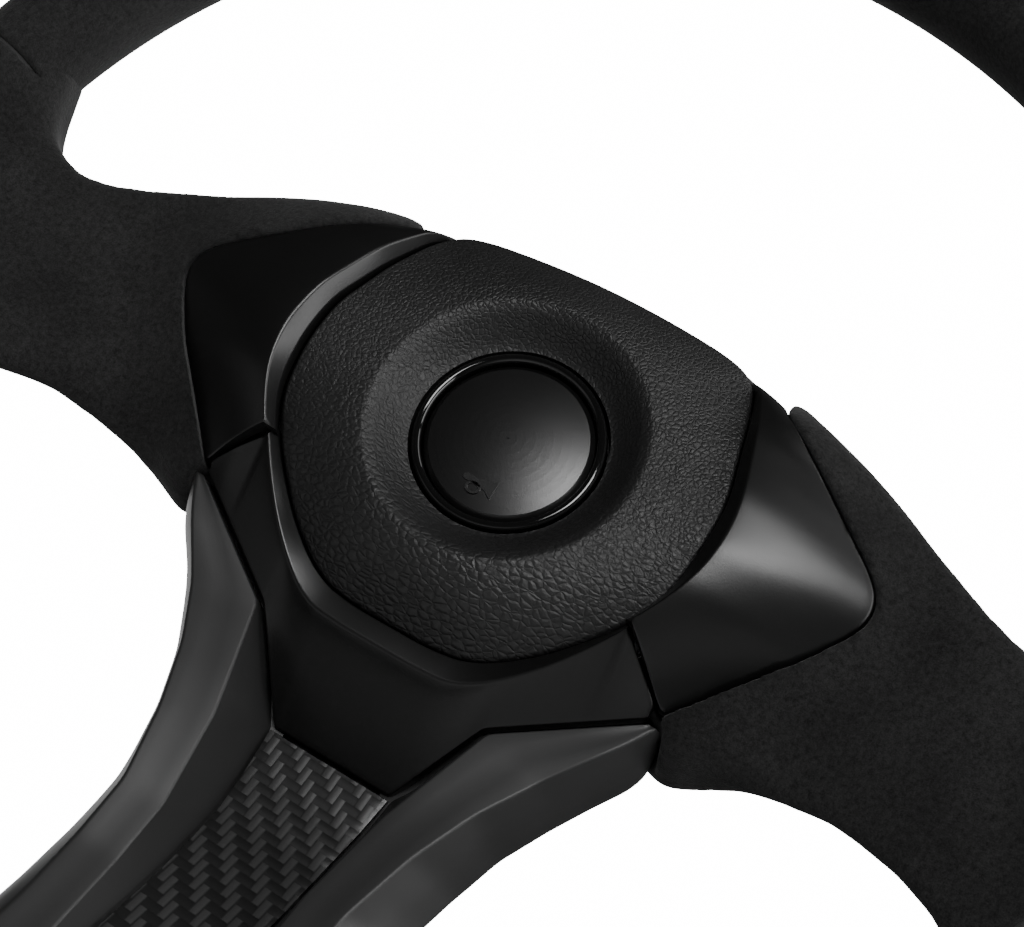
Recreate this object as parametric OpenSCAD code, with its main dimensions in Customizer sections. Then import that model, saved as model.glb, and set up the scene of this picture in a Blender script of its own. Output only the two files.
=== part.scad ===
// Quick release steering wheel: a flat three spoke wheel on a sprung collar, ball lock hub.
// Every node is drawn in the wheel's own frame (x right, y to 12 o'clock, z to the driver)
// and then turned so that the wheel faces -Y with 12 o'clock along +Z.

/* [Rim] */
// Outer diameter of the rim
rim_diameter = 350; // [330:5:370]
// Radial thickness of the grip
grip_width = 26; // [25:0.5:28]
// Front to back thickness of the grip
grip_depth = 30; // [28:0.5:32]
// Height of the rim's middle plane over the column face
rim_plane = 89; // [87:1:91]
// Outer diameter of the steel rim core
core_diameter = 12; // [10:0.5:12]

/* [Hub] */
// Diameter of the bolt circle on the column side
bolt_circle = 70; // [70:0.5:71]
// Diameter of the bolt circle on the wheel side
wheel_circle = 74; // [73.6:0.2:74.4]
// Clearance hole diameter of the column bolts
bolt_hole = 5.5; // [5.3:0.1:6]
// Centre bore of the column boss
centre_bore = 20; // [18:0.5:21]
// Diameter of the splined spigot
spigot_diameter = 42; // [42:0.5:43]
// Thickness of the armature plate
plate_thickness = 5; // [4:0.5:5]

/* [Release] */
// Diameter of the six locking balls
ball_diameter = 6.35; // [6:0.05:6.5]
// Travel of the release collar
collar_travel = 5; // [4:0.5:5]
// Outer diameter of the collar's finger flange
collar_diameter = 74; // [72:1:78]

/* [Horn] */
// Diameter of the horn cap
cap_diameter = 39.8; // [38.6:0.2:40]
// Travel of the horn cap
horn_travel = 2.5; // [1.5:0.5:3]
// Height of the cap's dome
cap_dome = 1.6; // [1:0.1:2.2]

/* [Trim] */
// Width of the horn pad; the bezels, covers and legs follow it
pad_width = 105.4; // [104.6:0.2:106]
// Height of the recess edge of the pad over the column face
pad_height = 84; // [82:0.5:85]
// Radius of the recess edge in the pad
recess_radius = 31.6; // [30.4:0.2:33]
// Thickness of the side bezels
bezel_thickness = 3.6; // [3:0.2:4]
// Seam between neighbouring trim pieces
seam = 0.7; // [0.4:0.1:0.9]

/* [Hidden] */

$fn = 96;
ALUMINIUM = [0.72, 0.73, 0.75];
ANODISED = [0.10, 0.10, 0.11];
STEEL = [0.60, 0.61, 0.63];
BRASS = [0.78, 0.62, 0.30];
SUEDE = [0.16, 0.16, 0.17];
FOAM = [0.12, 0.12, 0.12];
LEATHER = [0.11, 0.11, 0.11];
SATIN = [0.08, 0.08, 0.09];
ANTHRACITE = [0.22, 0.22, 0.23];
CARBON = [0.14, 0.14, 0.15];
GLOSS = [0.03, 0.03, 0.03];
COPPER = [0.72, 0.45, 0.25];

rim_r = (rim_diameter - grip_width) / 2;
skin = 0.9;
flange_t = 8;
flange_r = bolt_circle / 2 + 7;
spigot_r = spigot_diameter / 2;
spigot_top = 34;
bore_depth = 26;
run_fit = 0.05;
barrel_r = spigot_r + 4.5;
socket_low = 8.5;
socket_flange = 36;
plate_low = 42;
plate_top = plate_low + plate_thickness;
ball_r = ball_diameter / 2;
ball_z = 20;
ball_seat_r = barrel_r + 0.1 - 0.3 - ball_r;
ball_lift = 0.43;
slot_r = ball_seat_r - ball_r - 0.6;
collar_bore = barrel_r + 0.1;
cap_r = cap_diameter / 2;
ring_in = cap_r + 0.5;
ring_out = ring_in + 2.3;
ring_low = 71.2;
cup_in = ring_in + 0.4;
cup_out = ring_out + 0.3;
cup_floor = 60;
cap_low = 71.7;
carrier_low = 63;
post_r = 35;

// The trim outlines are drawn 115.2 wide with the recess edge at 84, then scaled to size.
trim = pad_width / 115.2;
crest_height = 84;
pad_base = 64;
pad_low = pad_height - (crest_height - pad_base) * trim;
gap = seam / trim;
lead_x = [3, -7];

// Half outlines, from 6 o'clock up the right side to 12 o'clock.
pad_half = [
  [0, -55], [12, -55], [22.5, -53.2], [34.5, -45.3], [43.5, -36.5], [50.7, -28.2], [56.2, -18],
  [57.6, -4], [57.2, 8], [54, 19], [50.6, 31], [46.6, 43], [40, 48.4], [20, 51], [0, 51.9]
];
crest_half = [
  [0, -61.4], [12, -61.4], [23, -60.4], [36.2, -49.6], [45, -39.5], [52.4, -29.4], [59.2, -17.5],
  [62, -5], [60.8, 8], [57, 20], [52.6, 33], [47.6, 44], [41, 50], [20, 52.6], [0, 53.5]
];

function seam_z(y) = lookup(y, [
  [-56, 70.5], [-45, 73], [-28.5, 77.5], [-18, 80.5], [-4, 83.6], [10, 84], [25, 82], [38, 77.5],
  [43, 75], [52, 73]
]);
function crest_z(y) = lookup(y, [
  [-62, 70], [-57, 71.5], [-45, 75.5], [-29, 82], [-17, 86], [-5, 88], [10, 88.5], [28, 86], [44, 78.5],
  [52, 74]
]);
function bezel_out_x(y) = lookup(y, [
  [-41.2, 67.2], [-29.5, 77.8], [-16.8, 89.2], [-8, 95.4], [-3, 97.6], [1, 98], [5, 97], [9, 93.8],
  [16.7, 83.6], [25.8, 72], [34.7, 60.9], [41, 53.6], [46, 48.6]
]);
function bezel_out_z(y) = lookup(y, [
  [-41.2, 69.5], [-29.5, 72.5], [-17, 77.4], [0, 81.8], [9, 83.4], [17, 85], [26, 85.5], [35, 83.5], [46, 77]
]);
function outline_x(half, y) = lookup(y, [for (p = [for (q = half) if (q[0] > 30) q]) [p[1], p[0]]]);
function cover_ridge_z(x) = lookup(x, [
  [54, 84], [66, 88], [76, 88], [86, 86], [98, 83], [110, 82], [125, 84], [140, 88], [150, 92], [158, 95.5],
  [168, 99]
]);
function cover_back_z(x) = lookup(x, [
  [54, 46], [62, 44], [76, 46], [88, 54], [100, 62], [112, 66.5], [125, 69], [140, 72.5], [152, 76], [168, 80]
]);
function cover_top_z(x) = lookup(x, [
  [54, 66], [60, 74], [66, 79], [98, 80], [114, 83], [130, 85.5], [150, 88], [168, 89]
]);
function cover_low_z(x) = lookup(x, [
  [54, 48], [76, 49], [82, 51], [88, 58], [94, 67], [100, 70], [112, 75], [130, 82], [150, 87], [168, 89]
]);
function cover_top_y(x) = lookup(x, [
  [54, 45], [58, 45.5], [62, 42.5], [66, 39.4], [74, 36], [82, 32.8], [90, 29.4], [98, 25.4], [106, 20.4],
  [114, 15.7], [122, 11.2], [130, 7.5], [134, 6.5], [140, 6], [146, 7.6], [150, 10], [153, 13], [156, 19],
  [159, 28], [162, 38], [168, 50]
]);
function cover_low_y(x) = lookup(x, [
  [54, -46], [66, -48.5], [70, -50], [74, -50.4], [78, -49], [82, -47.4], [88, -46.2], [94, -45.8],
  [100, -45.4], [112, -44.8], [119, -46], [130, -49], [140, -54], [147, -60], [153, -69], [168, -80]
]);
function cover_z(x, y) = cover_ridge_z(x) - (y < 8
  ? lookup(x, [[60, 0.9], [80, 0.95], [90, 0.85], [98, 0.7], [112, 0.5], [130, 0.35], [150, 0.2]])
    * lookup(8 - y, [[0, 0], [8, 0.8], [18, 3.2], [28, 7], [38, 12.5], [44, 15.5], [50, 16.3], [60, 18]])
  : 0.004 * pow(y - 8, 2));

function spread(a, b, n) = [for (i = [0:n - 1]) a + (b - a) * i / (n - 1)];
function mirrored(half) = concat(half, [for (i = [len(half) - 2:-1:1]) [-half[i][0], half[i][1]]]);
function softened(p) = [
  for (i = [0:len(p) - 1])
    each [p[i] * 0.78 + p[(i + 1) % len(p)] * 0.22, p[i] * 0.22 + p[(i + 1) % len(p)] * 0.78]
];
function grown(p, d) = [for (q = p) q * (1 + d / norm(q))];
function sized(p) = [for (q = p) q * trim];
function lifted(p, z) = [for (q = p) [q[0], q[1], z]];

pad_line = softened(mirrored(pad_half));

module in_row_frame() {
  rotate([90, 0, 0])
    children();
}

module trimmed() {
  translate([0, 0, pad_height - crest_height * trim])
    scale(trim)
      children();
}

// Closed skin through rings of equal length; the two end rings are capped unless it is a loop.
module loft(rings, loop = false) {
  n = len(rings[0]);
  m = len(rings);
  last = loop ? m - 1 : m - 2;
  sides = [
    for (i = [0:last]) for (j = [0:n - 1])
      let (a = i * n + j, b = i * n + (j + 1) % n, c = ((i + 1) % m) * n + j, d = ((i + 1) % m) * n + (j + 1) % n)
        each [[a, c, b], [b, c, d]]
  ];
  caps = loop ? [] : [[for (j = [0:n - 1]) j], [for (j = [n - 1:-1:0]) (m - 1) * n + j]];
  polyhedron(points = [for (r = rings) each r], faces = concat(sides, caps), convexity = 6);
}

module helix(mean_r, wire_r, z0, z1, turns) {
  steps = 16;
  total = turns * steps;
  rings = [
    for (i = [0:total])
      let (a = i * 360 / steps, z = z0 + wire_r + (z1 - z0 - 2 * wire_r) * i / total)
        [for (k = [0:7]) let (t = -k * 45, r = mean_r + wire_r * cos(t)) [r * cos(a), r * sin(a), z + wire_r * sin(t)]]
  ];
  loft(rings);
}

module around(count, radius, start = 0) {
  for (i = [0:count - 1])
    rotate([0, 0, start + i * 360 / count])
      translate([radius, 0, 0])
        children();
}

module oval_ring(rx, rz) {
  n = 28;
  points = [for (i = [0:n - 1]) [rim_r + rx * cos(i * 360 / n), rim_plane + rz * sin(i * 360 / n)]];
  rotate_extrude(angle = 360)
    polygon(points);
}

module wrap_arc(from, to) {
  n = 28;
  joint = 0.1;
  rx = grip_width / 2;
  rz = grip_depth / 2;
  skin_points = [
    for (s = [0, skin]) for (i = [0:n - 1])
      [rim_r + (rx - s) * cos(i * 360 / n), rim_plane + (rz - s) * sin(i * 360 / n)]
  ];
  color(SUEDE)
    difference() {
      rotate([0, 0, from + joint])
        rotate_extrude(angle = to - from - 2 * joint)
          polygon(skin_points, paths = [[for (i = [0:n - 1]) i], [for (i = [0:n - 1]) n + i]]);
      arms(0.15);
    }
}

// ---- column side ----

module column_boss() {
  color(ALUMINIUM)
    difference() {
      union() {
        cylinder(r = flange_r, h = flange_t);
        cylinder(r = spigot_r, h = spigot_top);
      }
      translate([0, 0, -1])
        cylinder(r = centre_bore / 2, h = bore_depth + 1);
      cylinder(r = centre_bore / 2 - 1, h = spigot_top + 2);
      around(6, bolt_circle / 2)
        translate([0, 0, -1])
          cylinder(d = bolt_hole, h = flange_t + 2);
      translate([0, 0, ball_z])
        rotate_extrude()
          translate([ball_seat_r, 0])
            circle(r = ball_r + 0.325);
      around(6, slot_r + 5)
        translate([-5, -2.2, flange_t + 0.2])
          cube([10, 4.4, 40]);
      around(6, slot_r + 5, 30)
        translate([-5, -ball_r - 0.35, flange_t + 0.2])
          cube([10, ball_diameter + 0.7, 40]);
    }
}

module column_insulator() {
  color(GLOSS)
    difference() {
      translate([0, 0, bore_depth + 1])
        cylinder(r = centre_bore / 2 - 1, h = 6.6);
      translate([0, 0, 32])
        difference() {
          cylinder(r = 8.4, h = 3);
          translate([0, 0, -1])
            cylinder(r = 5.6, h = 5);
        }
      translate([0, 0, 32])
        cylinder(r = 4.4, h = 3);
    }
}

module column_contact_inner() {
  color(BRASS)
    translate([0, 0, 32])
      cylinder(r = 4.4, h = 2);
}

module column_contact_outer() {
  color(BRASS)
    difference() {
      translate([0, 0, 32])
        cylinder(r = 8.4, h = 2);
      translate([0, 0, 31])
        cylinder(r = 5.6, h = 4);
    }
}

// ---- wheel structure ----

module side_arm(slack = 0) {
  low = [
    [30, plate_low], [52, plate_low], [90, 67], [114, 72.4], [130, 78], [rim_r - 4, rim_plane - 3.5]
  ];
  high = [
    [rim_r - 4, rim_plane + 1.5], [129, 83], [113, 77.4], [88, 72], [50, plate_top], [30, plate_top]
  ];
  translate([0, 4 + slack, 0])
    rotate([90, 0, 0])
      linear_extrude(height = 18 + 2 * slack)
        polygon(concat([for (p = low) p - [0, slack]], [for (p = high) p + [0, slack]]));
}

module lower_arm(slack = 0) {
  low = [
    [-30, plate_low], [-86, plate_low], [-104, 49], [-117, 56.5], [-130, 66.5], [-141, 75],
    [4 - rim_r, rim_plane - 3.5]
  ];
  high = [
    [4 - rim_r, rim_plane + 1.5], [-139, 80], [-128, 71], [-115, 61], [-102, 53.5], [-85, plate_top],
    [-30, plate_top]
  ];
  rotate([90, 0, 90])
    translate([0, 0, -11 - slack])
      linear_extrude(height = 22 + 2 * slack)
        polygon(concat([for (p = low) p - [0, slack]], [for (p = high) p + [0, slack]]));
}

module arms(slack = 0) {
  side_arm(slack);
  mirror([1, 0, 0])
    side_arm(slack);
  lower_arm(slack);
}

module armature() {
  color(ALUMINIUM)
    difference() {
      union() {
        translate([0, 0, plate_low])
          cylinder(r = flange_r + 3, h = plate_thickness);
        arms();
      }
      translate([0, 0, plate_low - 1])
        cylinder(r = 12.5, h = plate_thickness + 2);
      around(6, wheel_circle / 2, 30)
        translate([0, 0, plate_low - 1])
          cylinder(r = 2.6, h = plate_thickness + 2);
      rotate_extrude()
        translate([rim_r, rim_plane])
          circle(r = core_diameter / 2 + 0.2);
    }
}

module rim_core() {
  color(STEEL)
    rotate_extrude()
      translate([rim_r, rim_plane])
        circle(r = core_diameter / 2);
}

module rim_foam() {
  color(FOAM)
    difference() {
      oval_ring(grip_width / 2 - skin, grip_depth / 2 - skin);
      rotate_extrude()
        translate([rim_r, rim_plane])
          circle(r = core_diameter / 2);
      arms(0.1);
    }
}

// ---- suede spoke covers ----

module cover_body() {
  fronts = spread(0, 1, 15);
  backs = spread(0.94, 0.06, 9);
  rings = [
    for (x = [54, 58, 62, 67, 73, 78, 83, 88, 94, 100, 107, 115, 124, 132, 140, 146, 151, 155, 159, 163, 167])
      let (low = cover_low_y(x), top = cover_top_y(x), back = cover_back_z(x), z0 = cover_low_z(x), z1 = cover_top_z(x))
        concat(
          [
            for (s = fronts)
              let (
                y = low + (top - low) * s,
                level = z0 + (z1 - z0) * s,
                full = pow(max(0, 1 - pow(abs(2 * s - 1), 7)), 0.4)
              )
                [x, y, level + max(cover_z(x, y) - level, 1.5) * full]
          ],
          [
            for (s = backs)
              let (level = z0 + (z1 - z0) * s, full = sqrt(1 - pow(abs(2 * s - 1), 5)))
                [x, low + (top - low) * s, level - max(level - back, 2) * full]
          ]
        )
  ];
  loft(rings);
}

module bezel_pocket() {
  ys = [-43, -36, -29.5, -16.8, -8, -3, 1, 5, 9, 16.7, 25.8, 34.7, 41, 50];
  translate([0, 0, pad_base])
    linear_extrude(height = 46)
      polygon(concat([for (y = ys) [bezel_out_x(y) + gap, y]], [[40, 50], [40, -32], [53, -32], [66, -43]]));
}

module leg_notch() {
  translate([0, 0, 52])
    linear_extrude(height = 58)
      polygon([[67.6, -42.4], [69.4, -44.5], [70.6, -52], [70.6, -60], [40, -60], [40, -32], [53, -32]]);
}

module spoke_cover_right() {
  color(SUEDE)
    difference() {
      trimmed()
        difference() {
          cover_body();
          bezel_pocket();
          leg_notch();
          translate([0, 0, 40])
            linear_extrude(height = pad_base - 40)
              polygon(grown(pad_line, 4.2));
        }
      side_arm(0.2);
      oval_ring(grip_width / 2 + 0.1, grip_depth / 2 + 0.1);
    }
}

module spoke_cover_left() {
  mirror([1, 0, 0])
    spoke_cover_right();
}

// ---- bezels and lower cover ----

module bezel_right() {
  ys = [-40.6, -38, -34, -29.6, -25, -20, -15, -10, -5, 0, 4, 8, 12, 17, 22, 28, 34, 39, 42.5];
  thick = bezel_thickness / trim;
  rings = [
    for (y = ys)
      let (
        in_seam = y < -29 ? 52.6 + (-29 - y) * 1.2 : outline_x(pad_half, y) + gap,
        crest = y < -29 ? in_seam + 0.1 : outline_x(crest_half, y),
        out = max(bezel_out_x(y), crest + 0.4),
        z0 = y < -29 ? bezel_out_z(y) + (crest_z(y) - bezel_out_z(y)) * max(0, (y + 42) / 13) : seam_z(y) + 0.4,
        z1 = y < -29 ? z0 : crest_z(y),
        z2 = bezel_out_z(y)
      )
        concat(
          [[in_seam, y, z0 - thick], [in_seam, y, z0]],
          [for (u = [0, 0.2, 0.4, 0.6, 0.8, 1]) [crest + (out - crest) * u, y, z1 + (z2 - z1) * pow(u, 1.25)]],
          [[out, y, z2 - thick], [(crest + out) / 2, y, (z1 + z2) / 2 - thick]]
        )
  ];
  color(SATIN)
    trimmed()
      loft(rings);
}

module bezel_left() {
  mirror([1, 0, 0])
    bezel_right();
}

module lower_cover() {
  half = [0, 6, 12, 17.4, 20, 24.8, 28, 32, 36, 42, 47, 51.6, 56, 60, 64.5];
  xs = concat([for (i = [len(half) - 1:-1:1]) -half[i]], half);
  rings = [
    for (x = xs)
      let (
        a = abs(x),
        on_arm = a > 51.6,
        in_seam = on_arm ? -30.2 - (a - 51.6) * 0.84 : lookup(a, [for (p = pad_half) if (p[1] < -28) p]) - gap,
        crest = on_arm ? in_seam - 0.1 : min(in_seam - 0.1, lookup(a, [for (p = crest_half) if (p[1] < -28) p])),
        out = min(crest - 0.4, lookup(a, [[0, -87.4], [17.4, -87.4], [32, -65], [66, -42.6]])),
        z0 = on_arm ? lookup(a, [[51.6, 80.6], [66, 69.5]]) : seam_z(in_seam) + 0.4,
        z1 = on_arm ? z0 : crest_z(crest),
        z2 = lookup(a, [[0, 51], [17.4, 51], [32, 67.6], [50, 68.4], [66, 69]]),
        low = z2 - 3.6
      )
        concat(
          [[x, in_seam, min(z0 - 3, 66)], [x, in_seam, z0]],
          [for (u = [0, 0.2, 0.4, 0.6, 0.8, 1]) [x, crest + (out - crest) * u, z1 + (z2 - z1) * pow(u, 1.15)]],
          [[x, out, low], [x, (crest + out) / 2, min(z0 - 3, (z1 + z2) / 2 - 4)]]
        )
  ];
  color(SATIN)
    trimmed()
      loft(rings);
}

module leg_right() {
  ys = [-44.5, -48, -52, -57, -61, -65.6, -72, -80, -88, -95, -104, -114, -124, -134, -144, -154, -161, -167];
  rings = [
    for (y = ys)
      let (
        d = -y,
        foot_in = lookup(d, [[44.5, 65.4], [65.6, 33.4], [88, 18.4], [112, 16], [135, 15.2], [167, 15.2]]),
        top_in = lookup(d, [[44.5, 65.5], [65.6, 33.5], [95, 24.2], [119, 20], [167, 18.5]]),
        top_out = lookup(d, [
          [44.5, 67.6], [50, 64.6], [56, 60.6], [70, 50.5], [84, 42.4], [100, 36], [119, 31], [150, 30], [167, 31]
        ]),
        foot_out = lookup(d, [
          [44.5, 68.6], [52, 69.6], [57, 67.6], [65, 61.5], [75, 55.5], [87, 49], [100, 44.8], [110, 42.4],
          [119, 40.5], [135, 38.5], [150, 38], [167, 39]
        ]),
        z_top_in = lookup(d, [[44.5, 69.2], [65.6, 67.8], [95, 72], [119, 76.5], [135, 82], [150, 89.5], [167, 97]]),
        z_top_out = lookup(d, [
          [44.5, 69], [56, 70], [70, 69], [84, 71.5], [100, 75], [119, 79], [135, 83.5], [150, 90], [167, 97]
        ]),
        z_foot = lookup(d, [
          [44.5, 60], [52, 54], [65, 48.5], [88, 47.6], [98, 48], [112, 52], [126, 60], [140, 70], [152, 78],
          [167, 85]
        ]),
        lip = lookup(d, [[80, 5], [95, 3]]),
        z_lip = max(z_foot + 0.3, lookup(d, [[44.5, 61.5], [52, 61.5], [65.6, 60.3], [72, 54], [80, 48]]))
      )
        [
          [foot_in, y, z_foot], [foot_in - 0.3, y, z_lip], [foot_in - lip, y, z_lip], [foot_in - lip, y, z_lip + 1.2],
          [foot_in - 0.2, y, z_lip + 1.7], [top_in, y, z_top_in],
          [(top_in + top_out) / 2, y, (z_top_in + z_top_out) / 2 + 0.4], [top_out, y, z_top_out],
          [(top_out + foot_out) / 2 + 1, y, (z_top_out + z_foot) / 2 + 2], [foot_out, y, z_foot]
        ]
  ];
  color(ANTHRACITE)
    difference() {
      trimmed()
        loft(rings);
      oval_ring(grip_width / 2 + 0.1, grip_depth / 2 + 0.1);
    }
}

module leg_left() {
  mirror([1, 0, 0])
    leg_right();
}

module carbon_insert() {
  ys = [-82, -87.6, -88.7, -94, -100, -106, -112, -119, -126, -133, -139, -146, -153, -160, -166];
  rings = [
    for (y = ys)
      let (
        w = lookup(-y, [[88, 17.8], [112, 15.2], [135, 14.4], [166, 14.4]]),
        z = lookup(-y, [[82, 46.2], [87.6, 46.4], [88.7, 51], [100, 53], [112, 57], [126, 65], [140, 75], [152, 84], [166, 91]])
      )
        [[-w, y, z - 1.6], [-w, y, z], [w, y, z], [w, y, z - 1.6]]
  ];
  color(CARBON)
    difference() {
      trimmed()
        loft(rings);
      oval_ring(grip_width / 2 + 0.1, grip_depth / 2 + 0.1);
    }
}

// ---- horn pad ----

module horn_pad() {
  reach = [1, 0.97, 0.85, 0.65, 0.4, 0.18, 0];
  edge_r = recess_radius / trim;
  rings = concat(
    [lifted(pad_line, pad_base)],
    [
      for (t = reach)
        [
          for (q = pad_line)
            let (r = norm(q), k = (edge_r + (r - edge_r) * t) / r, drop = crest_height - seam_z(q[1]))
              [q[0] * k, q[1] * k, crest_height - drop * pow(t, 1.7) - (t == 1 ? 1 : 0)]
        ]
    ],
    [
      for (p = [[33.2, -0.9], [30, -5], [27, -7.9], [25.6, -8.7], [25.6, pad_base - crest_height]])
        [for (q = pad_line) [q[0] * p[0] / norm(q), q[1] * p[0] / norm(q), crest_height + p[1]]]
    ]
  );
  color(LEATHER)
    trimmed()
      loft([for (i = [len(rings) - 1:-1:0]) rings[i]], loop = true);
}

module pad_carrier() {
  color(SATIN)
    difference() {
      translate([0, 0, carrier_low])
        linear_extrude(height = pad_low - carrier_low)
          polygon(sized(grown(pad_line, 3.5)));
      translate([0, 0, carrier_low - 1])
        cylinder(r = cup_out + 0.2, h = 6);
      around(3, post_r, 60)
        translate([0, 0, carrier_low - 1])
          cylinder(r = 1.75, h = 6);
    }
}

module pad_posts() {
  color(STEEL)
    around(3, post_r, 60)
      difference() {
        translate([0, 0, plate_top])
          cylinder(r = 4, h = carrier_low - plate_top, $fn = 48);
        translate([0, 0, plate_top - 1])
          cylinder(r = 1.7, h = 30, $fn = 48);
      }
}

module pad_screws() {
  color(STEEL)
    around(3, post_r, 60)
      translate([0, 0, plate_top + 0.2])
        cylinder(r = 1.6, h = pad_low - plate_top - 0.4, $fn = 48);
}

module rear_ring() {
  color(SATIN)
    difference() {
      translate([0, 0, plate_top])
        linear_extrude(height = carrier_low - plate_top)
          polygon(sized(grown(pad_line, -5)));
      translate([0, 0, plate_top - 1])
        linear_extrude(height = 30)
          polygon(sized(grown(pad_line, -7.6)));
      arms(0.1);
    }
}

module horn_ring() {
  color(GLOSS)
    rotate_extrude()
      union() {
        translate([ring_in, ring_low])
          square([ring_out - ring_in, 4.6]);
        translate([(ring_in + ring_out) / 2, ring_low + 4.6])
          circle(r = (ring_out - ring_in) / 2);
      }
}

module horn_cup() {
  color(SATIN)
    difference() {
      translate([0, 0, cup_floor])
        cylinder(r = cup_out, h = ring_low - cup_floor);
      translate([0, 0, cup_floor + 2])
        difference() {
          cylinder(r = cup_in, h = 12);
          translate([0, 0, -1])
            cylinder(r = 7.5, h = 7);
        }
      translate([0, 0, cup_floor - 1])
        cylinder(r = 5.05, h = 20);
    }
}

module horn_contact_fixed() {
  color(BRASS)
    translate([0, 0, cup_floor + 2])
      difference() {
        cylinder(r = 16, h = 1);
        translate([0, 0, -1])
          cylinder(r = 13, h = 3);
      }
}

module lead(x) {
  color(COPPER)
    translate([x, 0, plate_low])
      cylinder(r = 0.8, h = cup_floor - plate_low, $fn = 32);
}

module horn_lead_live() {
  lead(lead_x[0] + 4);
}

module horn_lead_earth() {
  lead(lead_x[1]);
}

// ---- quick release, wheel side ----

module qr_socket() {
  color(ANODISED) {
    difference() {
      union() {
        translate([0, 0, socket_low])
          cylinder(r = barrel_r, h = plate_low - socket_low);
        translate([0, 0, socket_flange])
          cylinder(r = flange_r, h = plate_low - socket_flange);
      }
      translate([0, 0, socket_low - 1])
        cylinder(r = spigot_r + run_fit, h = 35 - socket_low + 1);
      cylinder(r = 12.4, h = plate_low + 1);
      around(6, 14, 30)
        translate([0, 0, ball_z])
          rotate([0, 90, 0])
            cylinder(r = ball_r + 0.075, h = 26);
      around(6, wheel_circle / 2, 30)
        translate([0, 0, socket_flange - 1])
          cylinder(r = 2.6, h = 10);
      translate([0, 0, socket_low + 0.4])
        difference() {
          cylinder(r = barrel_r + 1, h = 1);
          translate([0, 0, -1])
            cylinder(r = barrel_r - 1, h = 3);
        }
    }
    around(6, 0)
      translate([slot_r + 0.8, -2, socket_low + 1.5])
        cube([spigot_r + 1.5 - slot_r - 0.8, 4, 24]);
  }
}

module socket_bolts() {
  color(STEEL)
    around(6, wheel_circle / 2, 30)
      difference() {
        union() {
          translate([0, 0, socket_flange - 3])
            cylinder(r = 4.25, h = 3, $fn = 48);
          translate([0, 0, socket_flange - 1])
            cylinder(r = 2.5, h = 11.5, $fn = 48);
        }
        translate([0, 0, socket_flange - 4])
          cylinder(r = 1.7, h = 3, $fn = 6);
      }
}

module stop_ring() {
  color(STEEL)
    translate([0, 0, socket_low + 0.45])
      difference() {
        cylinder(r = 27, h = 0.9);
        translate([0, 0, -1])
          cylinder(r = barrel_r - 0.95, h = 3);
        translate([0, -1.5, -1])
          cube([40, 3, 3]);
      }
}

module contact_carrier() {
  color(GLOSS)
    difference() {
      translate([0, 0, 35.6])
        cylinder(r = 12.35, h = plate_low - 35.6);
      for (x = lead_x)
        translate([x, 0, 30])
          cylinder(r = 1.25, h = 20, $fn = 32);
    }
}

module contact_pin(x) {
  color(BRASS)
    translate([x, 0, spigot_top + 0.35])
      cylinder(r = 1.2, h = plate_low - spigot_top - 0.35, $fn = 32);
}

module contact_pin_live() {
  contact_pin(lead_x[0]);
}

module contact_pin_earth() {
  contact_pin(lead_x[1]);
}

// ---- moving pieces ----

module collar() {
  cone_top = ball_z + (ball_seat_r + (ball_r + 0.3) / cos(atan(ball_lift)) - collar_bore) / ball_lift;
  cone_low_r = collar_bore + 0.45 + 0.43 * 5.5;
  cone_low = cone_top - (cone_low_r - collar_bore) / ball_lift;
  out_r = collar_diameter / 2;
  color(ANODISED)
    difference() {
      rotate_extrude()
        polygon([
          [26.3, 10], [26.3, 11.5], [cone_low_r, 11.5], [cone_low_r, cone_low], [collar_bore, cone_top],
          [collar_bore, 24], [31.4, 24], [31.4, 27], [34, 27], [34, 18], [out_r, 17], [out_r, 13], [34, 12], [34, 10]
        ]);
      around(18, out_r + 2)
        translate([0, 0, 11])
          cylinder(r = 3, h = 8, $fn = 32);
    }
}

module collar_spring() {
  color(STEEL)
    helix(28.5, 0.7, 24.1, socket_flange - 0.1, 4);
}

module ball(n) {
  color(STEEL)
    rotate([0, 0, 60 * n - 30])
      translate([ball_seat_r, 0, ball_z])
        sphere(r = ball_r);
}

module horn_cap() {
  edge = 1.2;
  dome_r = (pow(cap_r - edge, 2) + pow(cap_dome, 2)) / (2 * cap_dome);
  arc = asin((cap_r - edge) / dome_r);
  top = 75.7;
  color(SATIN)
    union() {
      rotate_extrude()
        polygon(concat(
          [[0, cap_low], [cap_r, cap_low], [cap_r, top - 1]],
          [for (a = spread(arc, 0, 10)) [dome_r * sin(a), top + cap_dome - dome_r + dome_r * cos(a)]]
        ));
      translate([0, 0, cup_floor + horn_travel + 0.2])
        cylinder(r = 5, h = 10);
    }
}

module horn_contact_moving() {
  color(BRASS)
    translate([0, 0, cup_floor + 3.2 + horn_travel])
      difference() {
        cylinder(r = 16, h = cap_low - cup_floor - 3.2 - horn_travel);
        translate([0, 0, -1])
          cylinder(r = 13, h = 20);
      }
}

module horn_spring() {
  color(STEEL)
    helix(10.6, 0.5, cup_floor + 2.05, cap_low - 0.1, 4);
}

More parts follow.
